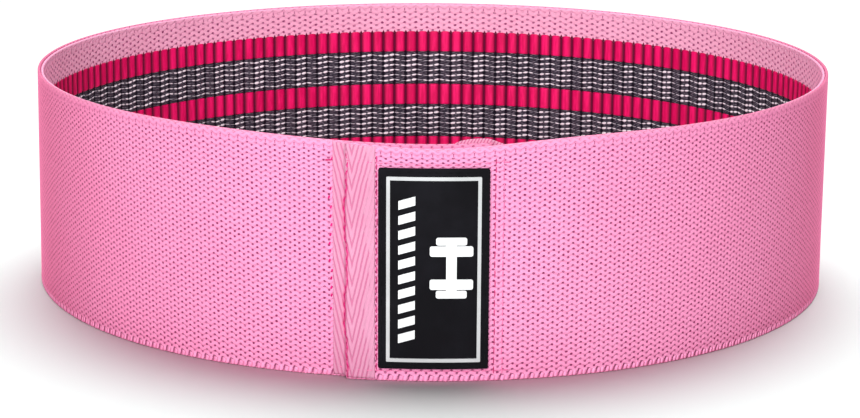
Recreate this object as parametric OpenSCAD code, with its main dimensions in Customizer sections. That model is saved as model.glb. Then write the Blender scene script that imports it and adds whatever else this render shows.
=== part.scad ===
// Fabric loop resistance band: a wide elastic webbing sewn into a loop, with ribbed
// grip stripes woven into its inner face and a moulded rubber label over the seam.
// Millimetres. +Z is up, the label faces -Y, and the loop stands on its lower edge.
//
// The webbing is one long strip. Its outer end finishes at the front, left of the label,
// on top of its inner end, so seen from above it is a very flat spiral of three arcs:
// the right front and back arcs share one centre, and the left front arc has a smaller
// radius about a centre moved left by seam_step, which carries it under the outer end.

/* [Loop] */
// Width of the webbing, which is the height of the standing loop
band_h = 76; // [60:1:90]
// Outer radius of the standing loop
loop_r = 139.5; // [120:0.5:150]
// How far the inner end steps in to pass under the outer end
seam_step = 3; // [2.9:0.1:4]

/* [Webbing] */
// Thickness of the pink face cloth outside the elastic cores
face_t = 1; // [0.8:0.1:1.5]
// Thickness of the inner cloth that carries the stripes
back_t = 1; // [0.8:0.1:1]
// Height of each crimson ribbed stripe
crimson_h = 8.2; // [7:0.1:9]
// Height of each grey grip stripe
grey_h = 14.1; // [13:0.1:15]
// How far the crimson ribs stand proud of the inner cloth
rib_proud = 0.2; // [0:0.05:0.2]

/* [Rubber] */
// Diameter of an elastic core strand inside the webbing
core_d = 0.7; // [0.5:0.05:0.8]
// Spacing of the elastic core strands
core_pitch = 4; // [3:0.5:6]
// Diameter of a latex grip strand
grip_d = 0.8; // [0.6:0.05:0.8]
// Latex grip strands in each grey stripe, and their spacing
grip_count = 6; // [3:1:6]
grip_pitch = 2.1; // [1.8:0.1:2.2]

/* [Seam] */
// Arc from the middle of the front to the outer end of the webbing, leftwards
outer_end_arc = 26.4; // [25:0.2:30]
// Arc from the middle of the front to the inner end of the webbing, rightwards
inner_end_arc = 18.5; // [16:0.5:22]
// Thickness of the herringbone seam tapes
tape_t = 0.7; // [0.5:0.1:0.8]
// Width of the outer tape on each side of the outer end
outer_tape_left = 4.3; // [3:0.1:5]
outer_tape_right = 9.2; // [8:0.1:9.3]
// Width of the inner tape on each side of the inner end
inner_tape_left = 12; // [10:0.5:14]
inner_tape_right = 4.5; // [3:0.5:6]
// Thread diameter, stitch length and stitch spacing
thread_d = 0.45; // [0.3:0.05:0.5]
stitch_len = 2.3; // [2:0.1:2.6]
stitch_pitch = 3; // [2.8:0.1:4]

/* [Label] */
// Width and height of the label
label_w = 33.6; // [30:0.2:33.8]
label_h = 62.8; // [55:0.2:64]
// Height of the label's lower edge, and its middle measured right along the front
label_z = 4.3; // [4:0.1:6]
label_mid = 0.5; // [0.2:0.1:1]
// Thickness of the rubber and height of its raised artwork
label_t = 1.4; // [1:0.1:2]
relief_t = 0.4; // [0.2:0.1:0.6]
// Radius of the label's corners
label_corner = 0.6; // [0.4:0.1:2]
// Distance from the label's edge to its raised border, and the border's width
border_inset = 2.4; // [1.8:0.1:2.6]
border_w = 1.1; // [0.8:0.1:1.8]

/* [Hidden] */
$fn = 96;

fit_gap = 0.02;                    // between pieces that lie on each other
half_gap = 0.3;                    // between the front and back halves of the loop
edge_step = 0.3;                   // the inner cloth stops this far short of the edges
web_t = face_t + back_t;
margin_h = (band_h - 3 * crimson_h - 2 * grey_h) / 2;
crimson_z = [margin_h, margin_h + crimson_h + grey_h, band_h - margin_h - crimson_h];
grey_z = [margin_h + crimson_h, margin_h + 2 * crimson_h + grey_h];
core_groove_r = core_d / 2 + fit_gap;
grip_groove_r = grip_d / 2 + fit_gap;
grey_step = 0.1;                   // how far the grey cloth lies behind the inner face
grip_r = loop_r - web_t + grey_step;      // the circle that each grip strand follows
inner_depth = web_t + max(rib_proud, grip_d / 2 - grey_step) + fit_gap;   // of the inner tape
label_r = loop_r + fit_gap;
relief_r = label_r + label_t;
label_proud = fit_gap + label_t + max(relief_t, fit_gap + thread_d);
y_shift = label_proud / 2;         // puts the origin in the middle of the whole part
inner_r = loop_r - seam_step;      // radius of the left front arc

// The turn, in degrees, that a length of arc makes
function turn(arc, r = loop_r) = arc / r * 180 / PI;

// Angle in plan of a point that is an arc to the right of the front middle
function plan_angle(arc, r = loop_r) = 270 + turn(arc, r);

// Radius, about the loop's centre and at angle a, of the left front arc of radius r
function left_radius(a, r) = sqrt(r * r - pow(seam_step * sin(a), 2)) - seam_step * cos(a);

// Angle, about the left front arc's own centre, of its outer face at angle a
function left_angle(a) =
    let (r = left_radius(a, inner_r)) 360 + atan2(r * sin(a), r * cos(a) + seam_step);

outer_end = plan_angle(-outer_end_arc);
inner_end = plan_angle(inner_end_arc);

// ---------- paths that a cross-section is carried along ----------

// A cross-section (x = radius, y = height) swept from angle a0 to a1 about the loop's centre
module sweep(a0, a1) {
    rotate([0, 0, a0]) rotate_extrude(angle = a1 - a0) children();
}

// The same on the left front arc, which has its own centre and radius
module sweep_left(a0, a1) {
    translate([-seam_step, 0, 0]) sweep(a0, a1) translate([-seam_step, 0]) children();
}

cut = turn(half_gap / 2);

module along_front() {
    translate([0, y_shift, 0]) {
        sweep(outer_end, 360 - cut) children();
        sweep_left(180 + cut, left_angle(inner_end)) children();
    }
}

module along_back() {
    translate([0, y_shift, 0]) sweep(cut, 180 - cut) children();
}

// ---------- cross-sections of the webbing ----------

// A rectangle between two radii and two heights
module ring_section(r0, r1, z0, z1) {
    translate([r0, z0]) square([r1 - r0, z1 - z0]);
}

// Round holes for the elastic cores, on the face between the two cloths
module core_circles(r) {
    for (z = [core_pitch : core_pitch : band_h - core_pitch / 2])
        translate([loop_r - face_t, z]) circle(r);
}

// The pink cloth: the whole outer face, turned over both edges as the inner margins
module face_cloth_section() {
    difference() {
        union() {
            ring_section(loop_r - face_t, loop_r, 0, band_h);
            ring_section(loop_r - web_t, loop_r - face_t, edge_step, margin_h);
            ring_section(loop_r - web_t, loop_r - face_t, band_h - margin_h, band_h - edge_step);
        }
        core_circles(core_groove_r);
    }
}

module crimson_section(i) {
    difference() {
        ring_section(loop_r - web_t - rib_proud, loop_r - face_t,
                     crimson_z[i], crimson_z[i] + crimson_h);
        core_circles(core_groove_r);
    }
}

module grip_circles(i, r) {
    for (k = [0 : grip_count - 1])
        translate([grip_r, grey_z[i] + grey_h / 2 + (k - (grip_count - 1) / 2) * grip_pitch])
            circle(r);
}

module grey_section(i) {
    difference() {
        ring_section(grip_r, loop_r - face_t, grey_z[i], grey_z[i] + grey_h);
        core_circles(core_groove_r);
        grip_circles(i, grip_groove_r);
    }
}

// ---------- webbing ----------

module face_cloth_front() { color("hotpink") along_front() face_cloth_section(); }
module face_cloth_back() { color("hotpink") along_back() face_cloth_section(); }
module elastic_cores_front() { color("ivory") along_front() core_circles(core_d / 2); }
module elastic_cores_back() { color("ivory") along_back() core_circles(core_d / 2); }
module crimson_stripe_front(i) { color("crimson") along_front() crimson_section(i); }
module crimson_stripe_back(i) { color("crimson") along_back() crimson_section(i); }
module grey_stripe_front(i) { color("dimgray") along_front() grey_section(i); }
module grey_stripe_back(i) { color("dimgray") along_back() grey_section(i); }
module grip_strands_front(i) { color("mistyrose") along_front() grip_circles(i, grip_d / 2); }
module grip_strands_back(i) { color("mistyrose") along_back() grip_circles(i, grip_d / 2); }

// ---------- seam tapes ----------

tape_steps = 12;     // chords along each stretch of tape

function polar(a, r) = [r * cos(a), r * sin(a)];

// Plan points of one side of a tape. It follows the left front arc of radius left_r from
// angle a0 to the step at angle at, and the loop's arc of radius right_r from there to a1.
function tape_side(a0, at, a1, left_r, right_r) = concat(
    [for (i = [0 : tape_steps])
        let (a = a0 + (at - a0) * i / tape_steps) polar(a, left_radius(a, left_r))],
    [for (i = [0 : tape_steps])
        let (a = at + (a1 - at) * i / tape_steps) polar(a, right_r)]);

function reversed(points) = [for (i = [len(points) - 1 : -1 : 0]) points[i]];

module tape(side_a, side_b) {
    color("pink") translate([0, y_shift, edge_step])
        linear_extrude(band_h - 2 * edge_step) polygon(concat(side_a, reversed(side_b)));
}

// The outer tape lies on the left webbing, climbs over the cut outer end and lies on the
// overlap.
module outer_seam_tape() {
    a0 = outer_end - turn(outer_tape_left);
    a1 = outer_end + turn(outer_tape_right);
    step_a = outer_end - turn(fit_gap);
    tape(tape_side(a0, step_a, a1, inner_r + fit_gap, loop_r + fit_gap),
         tape_side(a0, step_a - turn(tape_t), a1,
                   inner_r + fit_gap + tape_t, loop_r + fit_gap + tape_t));
}

// The inner tape is the same on the inside: it lies on the inner end, goes over its cut
// edge and lies on the webbing beyond it.
module inner_seam_tape() {
    a0 = inner_end - turn(inner_tape_left);
    a1 = inner_end + turn(inner_tape_right);
    step_a = inner_end + turn(fit_gap);
    tape(tape_side(a0, step_a, a1, inner_r - inner_depth, loop_r - inner_depth),
         tape_side(a0, step_a + turn(tape_t), a1,
                   inner_r - inner_depth - tape_t, loop_r - inner_depth - tape_t));
}

// ---------- stitching ----------

// One stitch, a short length of thread lying on a face of radius r at an arc and a height.
// side is 1 on an outer face and -1 on an inner one. upright stitches run along Z.
module stitch(arc, r, z, side = 1, upright = true) {
    lift = side * (thread_d / 2 + fit_gap);
    rotate([0, 0, plan_angle(arc, r)]) translate([r + lift, 0, z])
        rotate([upright ? 0 : 90, 0, 0])
        cylinder(h = stitch_len, d = thread_d, center = true);
}

// A row of stitches up the band
module stitch_column(arc, r, z0, z1, side = 1) {
    count = floor((z1 - z0) / stitch_pitch);
    for (k = [0 : count - 1])
        stitch(arc, r, z0 + (k + 0.5) * (z1 - z0) / count, side);
}

// A row of stitches across the front
module stitch_row(arc0, arc1, r, z) {
    count = floor((arc1 - arc0) / stitch_pitch);
    for (k = [0 : count - 1])
        stitch(arc0 + (k + 0.5) * (arc1 - arc0) / count, r, z, 1, false);
}

stitch_end = 3;                                   // rows start this far from the edges
tape_face_r = loop_r + fit_gap + tape_t;
box_right = 19.2;                                 // right side of the sewn box
seam_row_gap = 2.5;                               // between its two right columns
box_bottom = 2.4;
box_top = band_h - 5.6;

module tape_stitching_left() {
    color("palevioletred") translate([-seam_step, y_shift, 0])
        stitch_column(-outer_end_arc - outer_tape_left / 2 + seam_step,
                      inner_r + fit_gap + tape_t, stitch_end, band_h - stitch_end);
}

module tape_stitching_right() {
    color("palevioletred") translate([0, y_shift, 0])
        stitch_column(outer_tape_right - outer_end_arc - 1.2, tape_face_r,
                      stitch_end + 2, box_top - 1.6);
}

module seam_stitching_right() {
    color("palevioletred") translate([0, y_shift, 0])
        for (arc = [box_right, box_right + seam_row_gap])
            stitch_column(arc, loop_r, stitch_end + 1, box_top - 1);
}

module seam_stitching_top() {
    color("palevioletred") translate([0, y_shift, 0]) {
        stitch_row(-outer_end_arc + 0.6, outer_tape_right - outer_end_arc, tape_face_r, box_top);
        stitch_row(outer_tape_right - outer_end_arc + 0.6, box_right, loop_r, box_top);
    }
}

module seam_stitching_bottom() {
    color("palevioletred") translate([0, y_shift, 0]) {
        stitch_row(-outer_end_arc + 0.6, outer_tape_right - outer_end_arc,
                   tape_face_r, box_bottom);
        stitch_row(outer_tape_right - outer_end_arc + 0.6, box_right, loop_r, box_bottom);
    }
}

module inner_tape_stitching() {
    color("palevioletred") translate([-seam_step, y_shift, 0])
        for (arc = [inner_end_arc - inner_tape_left + 1.5, inner_end_arc - 1.5])
            stitch_column(arc + seam_step, inner_r - inner_depth - tape_t,
                          stitch_end, band_h - stitch_end, -1);
}

// ---------- label ----------

// A rectangle with round corners, its middle at the origin
module round_rect(w, h, r) {
    square([w - 2 * r, h], center = true);
    square([w, h - 2 * r], center = true);
    for (x = [-1, 1], y = [-1, 1])
        translate([x * (w / 2 - r), y * (h / 2 - r)]) circle(r);
}

// A flat outline, its middle on the label's middle, wrapped as a layer between two radii
module wrapped(r0, r1) {
    translate([0, y_shift, 0]) intersection() {
        difference() {
            cylinder(h = band_h, r = r1);
            translate([0, 0, -1]) cylinder(h = band_h + 2, r = r0);
        }
        translate([label_mid, 0, label_z + label_h / 2])
            rotate([90, 0, 0]) linear_extrude(loop_r + 10) children();
    }
}

module label_base() {
    color("black") wrapped(label_r, label_r + label_t) round_rect(label_w, label_h, label_corner);
}

module label_border() {
    w = label_w - 2 * border_inset;
    h = label_h - 2 * border_inset;
    color("gainsboro") wrapped(relief_r, relief_r + relief_t) difference() {
        round_rect(w, h, label_corner / 2);
        square([w - 2 * border_w, h - 2 * border_w], center = true);
    }
}

icon_mid = [5.4, 0.8];       // middle of the icon on the label
icon_h = 19;                 // height of the icon

// A plain dumbbell standing on end: a grip bar with two plates at each end
module label_icon() {
    bar_w = 3.2;
    plates = [[13.2, 3.2, 5.2], [9.4, 2.4, 8.3]];   // width, height and middle of each plate
    color("white") wrapped(relief_r, relief_r + relief_t) translate(icon_mid) {
        square([bar_w, icon_h], center = true);
        for (plate = plates, side = [-1, 1])
            translate([0, side * plate[2]]) round_rect(plate[0], plate[1], 0.7);
    }
}

bars_x = -8.2;               // middle of the column of bars on the label
bar_count = 10;
bar_w = 5.1;
bar_h = 2.7;
bar_pitch = 4.65;
bar_slant = 1.5;

// A column of equal slanted bars, as on a resistance scale
module label_level_bars() {
    color("white") wrapped(relief_r, relief_r + relief_t)
        for (k = [0 : bar_count - 1])
            translate([bars_x, (k - (bar_count - 1) / 2) * bar_pitch])
                polygon([
                    [-bar_w / 2, -bar_h / 2 - bar_slant / 2],
                    [bar_w / 2, -bar_h / 2 + bar_slant / 2],
                    [bar_w / 2, bar_h / 2 + bar_slant / 2],
                    [-bar_w / 2, bar_h / 2 - bar_slant / 2],
                ]);
}

module label_stitching() {
    inset = border_inset / 2;
    x0 = label_mid - label_w / 2;
    x1 = label_mid + label_w / 2;
    r = label_r + label_t;
    color("black") translate([0, y_shift, 0]) {
        for (arc = [x0 + inset + 0.1, x1 - inset - 0.1])
            stitch_column(arc, r, label_z + 2, label_z + label_h - 2);
        for (z = [label_z + inset, label_z + label_h - inset])
            stitch_row(x0 + 2, x1 - 2, r, z);
    }
}

face_cloth_front();
face_cloth_back();
elastic_cores_front();
elastic_cores_back();
crimson_stripe_front(0);  // crimson_rib_stripe_bottom_front
crimson_stripe_back(0);  // crimson_rib_stripe_bottom_back
crimson_stripe_front(1);  // crimson_rib_stripe_middle_front
crimson_stripe_back(1);  // crimson_rib_stripe_middle_back
crimson_stripe_front(2);  // crimson_rib_stripe_top_front
crimson_stripe_back(2);  // crimson_rib_stripe_top_back
grey_stripe_front(0);  // grey_grip_stripe_lower_front
grey_stripe_back(0);  // grey_grip_stripe_lower_back
grey_stripe_front(1);  // grey_grip_stripe_upper_front
grey_stripe_back(1);  // grey_grip_stripe_upper_back
grip_strands_front(0);  // latex_grip_strands_lower_front
grip_strands_back(0);  // latex_grip_strands_lower_back
grip_strands_front(1);  // latex_grip_strands_upper_front
grip_strands_back(1);  // latex_grip_strands_upper_back
outer_seam_tape();
inner_seam_tape();
tape_stitching_left();
tape_stitching_right();
seam_stitching_right();
seam_stitching_top();
seam_stitching_bottom();
inner_tape_stitching();
label_base();
label_border();
label_icon();
label_level_bars();
label_stitching();
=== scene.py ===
# %% [markdown]
# # A fabric loop resistance band
#
# The real object is one long strip of wide elastic webbing, sewn into a loop. Its outer
# face is a pink knit. Its inner face has three raised crimson ribbed stripes and two dark
# grey stripes, with pale latex yarns that grip the skin. At the front the two ends of the
# webbing lie over each other, under a herringbone tape, and a black rubber label is sewn
# over the lap.
#
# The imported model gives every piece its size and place. This file gives every piece its
# real surface. It reads nothing but that model.

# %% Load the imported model
import math

import bpy
import numpy as np
from mathutils import Matrix, Vector


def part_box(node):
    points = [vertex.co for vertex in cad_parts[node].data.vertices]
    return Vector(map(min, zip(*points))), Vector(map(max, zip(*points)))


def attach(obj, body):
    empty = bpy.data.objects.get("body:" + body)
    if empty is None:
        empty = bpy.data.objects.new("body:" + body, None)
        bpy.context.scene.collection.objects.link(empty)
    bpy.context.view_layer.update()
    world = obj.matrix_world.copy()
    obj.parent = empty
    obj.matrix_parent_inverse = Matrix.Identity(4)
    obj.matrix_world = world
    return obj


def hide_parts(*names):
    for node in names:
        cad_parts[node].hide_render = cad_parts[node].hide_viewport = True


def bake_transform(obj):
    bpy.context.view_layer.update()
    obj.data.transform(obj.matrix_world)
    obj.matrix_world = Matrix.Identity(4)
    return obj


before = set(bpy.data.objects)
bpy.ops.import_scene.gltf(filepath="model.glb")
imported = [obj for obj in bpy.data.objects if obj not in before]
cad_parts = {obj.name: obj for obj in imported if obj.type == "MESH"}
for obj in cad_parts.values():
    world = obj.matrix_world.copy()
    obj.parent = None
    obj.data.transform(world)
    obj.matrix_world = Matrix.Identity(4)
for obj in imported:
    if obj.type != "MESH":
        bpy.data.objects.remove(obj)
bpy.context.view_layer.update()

MM = 0.001

# %% [markdown]
# ## Measure the loop
#
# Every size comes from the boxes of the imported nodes. The cloth's box gives the loop's
# radius, its middle and its height, and the stripes' boxes give their edges. Four lengths
# can't be read from a box and repeat the part's own values: where the webbing's outer end
# and inner end lie, as arcs from the middle of the front, how far the inner end steps in
# to pass under the outer one, and how thick the seam tapes are.


# %% Sizes of the loop, in millimetres
def node_box(node):
    """Lowest and highest corner of a CAD node, in mm."""
    low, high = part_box(node)
    return np.array(low) / MM, np.array(high) / MM


cloth_low, cloth_high = node_box("face_cloth_back")
stripe_low, stripe_high = node_box("crimson_rib_stripe_top_back")
LOOP_R = (cloth_high[0] - cloth_low[0]) / 2
MID_Y = cloth_high[1] - LOOP_R
BAND_H = cloth_high[2]
FACE_T = cloth_high[1] - stripe_high[1]
WEB_T = 2 * FACE_T
OUTER_END = -26.4
INNER_END = 18.5
SEAM_STEP = 3.0
TAPE_T = 0.7
print(f"loop radius {LOOP_R:.2f}, middle at y {MID_Y:.3f}, height {BAND_H:.1f}")

# %% [markdown]
# ## Camera and light
#
# The camera stands 855 mm from the band and looks 13.4 degrees down on it, with a long
# lens. The values come from fitting a perspective view to the two rims of the loop: how far
# the rims open gives the angle, and how much smaller the far side is gives the distance.
#
# Three soft sources light it. An even, pale world fills the shadows. A very wide overhead
# panel, a little behind the band, lights the whole floor evenly and makes the soft shadow
# in front of the band. It is a sun lamp with a wide angle, because a sun doesn't fade
# across the floor. A softbox beside the camera lights the band alone, through light
# linking, so that it doesn't wash that shadow away.

# %% Camera
VIEW_DOWN = math.radians(13.4)
VIEW_ROLL = math.radians(0.35)
VIEW_DISTANCE = 855
VIEW_AIM = Vector((-0.71, MID_Y, 21.3))
LENS = 98.6651
camera = bpy.data.objects.new("camera", bpy.data.cameras.new("camera"))
camera.data.sensor_width = 36
camera.data.lens = LENS
camera.data.clip_start = 0.05
camera.data.clip_end = 50
camera.matrix_world = (Matrix.Translation(VIEW_AIM * MM)
                       @ Matrix.Rotation(math.pi / 2 - VIEW_DOWN, 4, "X")
                       @ Matrix.Rotation(VIEW_ROLL, 4, "Z")
                       @ Matrix.Translation((0, 0, VIEW_DISTANCE * MM)))
bpy.context.scene.collection.objects.link(camera)
bpy.context.scene.camera = camera
bpy.context.scene.view_settings.view_transform = "Standard"
print("lens", round(camera.data.lens, 2), "mm")

# %% Lights
SKY_POWER = 3.75
SKY_WIDTH = math.radians(48)
SKY_COLOUR = (0.88, 1.0, 0.97)
SOFTBOX_PLACE = Vector((-0.2, -1.5, 0.65))
SOFTBOX_POWER = 30
SOFTBOX_SIZE = 0.9
WORLD_COLOUR = (0.94, 1, 1, 1)
WORLD_POWER = 0.24


def add_lamp(name, kind, power, source):
    """Lamp that shines along the line from source to the origin."""
    lamp = bpy.data.objects.new(name, bpy.data.lights.new(name, kind))
    lamp.data.energy = power
    lamp.rotation_euler = source.to_track_quat("Z", "Y").to_euler()
    bpy.context.scene.collection.objects.link(lamp)
    return lamp


band_pieces = bpy.data.collections.new("band_pieces")
bpy.context.scene.collection.children.link(band_pieces)
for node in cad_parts.values():
    band_pieces.objects.link(node)
sky = add_lamp("sky_panel", "SUN", SKY_POWER, Vector((0.05, 0.5, 1)))
sky.data.angle = SKY_WIDTH
sky.data.color = SKY_COLOUR
band_middle = Vector((0, 0, BAND_H * MM / 2))
softbox = add_lamp("softbox_front", "AREA", SOFTBOX_POWER, SOFTBOX_PLACE - band_middle)
softbox.location = SOFTBOX_PLACE
softbox.data.shape = "SQUARE"
softbox.data.size = SOFTBOX_SIZE
softbox.light_linking.receiver_collection = band_pieces
world = bpy.data.worlds.new("studio")
world.use_nodes = True
background = world.node_tree.nodes["Background"]
background.inputs["Color"].default_value = WORLD_COLOUR
background.inputs["Strength"].default_value = WORLD_POWER
bpy.context.scene.world = world

# %% Floor
FLOOR_HALF = 6.0
corners = [(x * FLOOR_HALF, y * FLOOR_HALF, 0) for x, y in ((-1, -1), (1, -1), (1, 1), (-1, 1))]
floor = bpy.data.objects.new("floor", bpy.data.meshes.new("floor"))
floor.data.from_pydata(corners, [], [(0, 1, 2, 3)])
bpy.context.scene.collection.objects.link(floor)
print("floor:", 2 * FLOOR_HALF, "m wide")

# %% [markdown]
# ## Helpers for meshes
#
# Nearly every piece is a grid of points: one parameter runs along the webbing and the
# other runs round its cross-section. One function turns such a grid into a closed mesh, and
# another makes many small tubes at once, for the yarns and stitches. Both measure the
# volume, and turn the faces round if it comes out negative, so that faces always point
# outwards. The texture map is in millimetres, so the same weave has the same size on every
# piece. A last function gives a piece its material, hides the imported nodes it stands for
# and sets how it moves: the seam and the label ride the front, and the rest only has its
# transform baked.


# %% Grid surfaces
def signed_volume(points, faces):
    """Volume inside faces of equal length: the sum of the cone of each triangle of a fan."""
    p = points[faces]
    total = 0.0
    for k in range(1, faces.shape[1] - 1):
        total += np.einsum("ij,ij->i", p[:, 0], np.cross(p[:, k], p[:, k + 1])).sum()
    return total / 6


def new_piece(name, points, face_groups, uv_groups=None):
    """Mesh object from points in mm and groups of faces, each group with one face size."""
    volume = sum(signed_volume(points, f) for f in face_groups)
    if volume < 0:
        face_groups = [f[:, ::-1] for f in face_groups]
        if uv_groups is not None:
            uv_groups = [u[:, ::-1] for u in uv_groups]
    sizes = np.concatenate([np.full(len(f), f.shape[1]) for f in face_groups])
    corners = np.concatenate([f.ravel() for f in face_groups])
    mesh = bpy.data.meshes.new(name)
    mesh.vertices.add(len(points))
    mesh.vertices.foreach_set("co", (points * MM).astype(np.float32).ravel())
    mesh.loops.add(len(corners))
    mesh.loops.foreach_set("vertex_index", corners.astype(np.int32))
    mesh.polygons.add(len(sizes))
    starts = np.concatenate([[0], np.cumsum(sizes)[:-1]])
    mesh.polygons.foreach_set("loop_start", starts.astype(np.int32))
    if uv_groups is not None:
        layer = mesh.uv_layers.new(name="weave_mm")
        flat = np.concatenate([u.reshape(-1, 2) for u in uv_groups])
        layer.data.foreach_set("uv", flat.astype(np.float32).ravel())
    mesh.update(calc_edges=True)
    mesh.validate()
    mesh.polygons.foreach_set("use_smooth", np.full(len(mesh.polygons), True))
    piece = bpy.data.objects.new(name, mesh)
    band_pieces.objects.link(piece)
    print(f"{name}: {(sizes - 2).sum()} triangles, {abs(volume) / 1000:.2f} cm3")
    return piece


def tube_faces(rings, sides):
    """Point numbers of the quads round a tube, and of the flat caps at its two ends."""
    ring = np.arange(rings - 1)[:, None] * sides
    side = np.arange(sides)
    nxt = (side + 1) % sides
    quads = np.stack([ring + side, ring + sides + side, ring + sides + nxt, ring + nxt], -1)
    return quads.reshape(-1, 4), np.stack([side, rings * sides - 1 - side])


def grid_piece(name, points, uv):
    """Closed mesh from an (along, round) grid of points, with flat caps at both ends.

    uv has one more column than points, where the grid closes on itself.
    """
    quads, caps = tube_faces(*points.shape[:2])
    quad_uv = np.stack([uv[:-1, :-1], uv[1:, :-1], uv[1:, 1:], uv[:-1, 1:]], 2)
    cap_uv = np.stack([uv[0, :-1], uv[-1, -2::-1]])
    uv_groups = [quad_uv.reshape(-1, 4, 2), cap_uv]
    return new_piece(name, points.reshape(-1, 3), [quads, caps], uv_groups)


def tubes(name, points):
    """One mesh of many closed tubes: points is (tube, ring, side, 3) in mm."""
    count, rings, sides = points.shape[:3]
    shift = (np.arange(count) * rings * sides)[:, None, None]
    groups = [(f + shift).reshape(-1, f.shape[1]) for f in tube_faces(rings, sides)]
    return new_piece(name, points.reshape(-1, 3), groups)


def set_values(piece, name, values):
    """Gives every point of the piece a named number, which its material can read."""
    layer = piece.data.attributes.new(name, "FLOAT", "POINT")
    layer.data.foreach_set("value", values.astype(np.float32).ravel())


BLEND_MARGIN = 8


def dress(piece, material, slot, nodes, rides_front=False):
    """Gives a piece its material, the nodes it stands for and its way to move; slot is not used.

    It rides the front half, or else its transform is only baked into its mesh.
    """
    piece.data.materials.append(material)
    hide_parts(*nodes)
    if rides_front:
        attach(piece, "front")
    else:
        start = (0, (MID_Y - LOOP_R + BLEND_MARGIN) * MM, 0)
        end = (0, (MID_Y + LOOP_R - BLEND_MARGIN) * MM, 0)
        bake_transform(piece)


# %% [markdown]
# ## The path of the webbing
#
# Seen from above the webbing is a very flat spiral. It starts at the outer end, left of the
# label, runs right, round the back and to the left side on one circle, and then on a circle
# of smaller radius that carries it under the outer end. One function gives the point at any
# arc along the webbing, any depth under its outer face and any height. Every woven piece is
# made with it, so the layers always fit each other.
#
# A real band isn't a perfect cylinder. Its top edge sags a little at the front, where the
# stiff label and the lap pull it down, so the function lowers the top few millimetres there.
# At the left side, where the free end pulls, the foot of the band leans out about 1 mm.

# %% Arc, depth and height to a point
S_LEFT = LOOP_R * 1.5 * math.pi
INNER_R = LOOP_R - SEAM_STEP
S_FRONT_INNER = S_LEFT + INNER_R * (math.pi / 2 + math.asin(SEAM_STEP / INNER_R))
END_CUT = 0.4
S_END = S_FRONT_INNER + INNER_END - END_CUT
DIP_OUTER = 2.9
DIP_OUTER_SPREAD = 32
DIP_INNER = 2.2
DIP_INNER_SPREAD = 51
DIP_FROM = 60
LEAN_OUT = 1.2
LEAN_SPREAD = 45


def smooth(x):
    """0 below 0, 1 above 1 and a smooth S between them."""
    x = np.clip(x, 0, 1)
    return x * x * (3 - 2 * x)


def sag(s, z):
    """How far a point sags: a bell along the arc, times a smooth rise up the top 16 mm."""
    bell = DIP_OUTER * np.exp(-(s / DIP_OUTER_SPREAD) ** 2)
    bell = bell + DIP_INNER * np.exp(-((s - S_FRONT_INNER) / DIP_INNER_SPREAD) ** 2)
    return bell * smooth((z - DIP_FROM) / (BAND_H - DIP_FROM))


def webbing(s, depth, z):
    """Point at arc s, depth under the outer face and height z, all in mm.

    The angle grows with the arc. The radius is the circle's, less the depth, and at the left
    side the foot of the band leans out in a bell along the arc.
    """
    s, depth, z = np.broadcast_arrays(s, depth, z)
    first = s <= S_LEFT
    angle = np.where(first, 1.5 * np.pi + s / LOOP_R, 3 * np.pi + (s - S_LEFT) / INNER_R)
    lean = LEAN_OUT * np.exp(-((s - S_LEFT) / LEAN_SPREAD) ** 2) * (1 - z / BAND_H)
    radius = np.where(first, LOOP_R, INNER_R) - depth + lean
    middle_x = np.where(first, 0.0, -SEAM_STEP)
    x = middle_x + radius * np.cos(angle)
    y = MID_Y + radius * np.sin(angle)
    return np.stack([x, y, z - sag(s, z)], -1)


def carried(s, section):
    """Grid of points: a cross-section of (depth, height) rows at every arc in s."""
    return webbing(s[:, None], section[..., 0], section[..., 1])


def section_uv(s, section):
    """Texture map in mm: the arc, and the length round the cross-section."""
    closed = np.concatenate([section, section[..., :1, :]], -2)
    steps = np.linalg.norm(np.diff(closed, axis=-2), axis=-1)
    around = np.concatenate([np.zeros(steps.shape[:-1] + (1,)), np.cumsum(steps, -1)], -1)
    around = around + section[..., :1, 1]
    along = np.broadcast_to(s[:, None], (len(s), closed.shape[-2]))
    return np.stack([along, np.broadcast_to(around, along.shape)], -1)


STRIP_LENGTH = S_END - OUTER_END
RIB_PITCH_ABOUT = 4.745
RIB_PITCH = STRIP_LENGTH / round(STRIP_LENGTH / RIB_PITCH_ABOUT)
RIB_VALLEY = 473.3


def rib_count(s):
    """Rib number at arc s; the whole part changes in the valleys between ribs."""
    return (s - RIB_VALLEY) / RIB_PITCH


print(f"the webbing is {STRIP_LENGTH:.1f} mm long, {STRIP_LENGTH - INNER_END + OUTER_END:.1f} "
      f"mm round the loop, with ribs {RIB_PITCH:.3f} mm apart")

# %% [markdown]
# ## Helpers for materials
#
# All finishes are node trees worked out from numbers. A node's output is wrapped in a small
# class whose operators add Math nodes, so that a formula in a material reads as a formula.
# Effects that several materials share are node groups: they put out masks, heights and
# colours, and each material keeps its own shader.


# %% Values and formulas
class Value:
    """A node's output. The operators + - * / add Math nodes to its tree."""

    def __init__(self, socket):
        self.socket = socket
        self.tree = socket.id_data

    def __add__(self, other):
        return calc("ADD", self, other)

    def __sub__(self, other):
        return calc("SUBTRACT", self, other)

    def __rsub__(self, other):
        return calc("SUBTRACT", other, self)

    def __mul__(self, other):
        return calc("MULTIPLY", self, other)

    def __truediv__(self, other):
        return calc("DIVIDE", self, other)


def fill(node, inputs):
    """Links or sets a node's inputs, named or numbered, to Values or constants."""
    for key, value in inputs.items():
        if isinstance(value, Value):
            node.id_data.links.new(value.socket, node.inputs[key])
        else:
            node.inputs[key].default_value = value


def made(tree, kind, inputs, output=0, **settings):
    """Adds a node with those inputs and settings, and returns one of its outputs."""
    node = tree.nodes.new("ShaderNode" + kind)
    for name, value in settings.items():
        setattr(node, name, value)
    fill(node, inputs)
    return Value(node.outputs[output])


def calc(operation, *values):
    """Output of one Math node."""
    tree = next(v.tree for v in values if isinstance(v, Value))
    return made(tree, "Math", dict(enumerate(values)), operation=operation)


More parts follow.
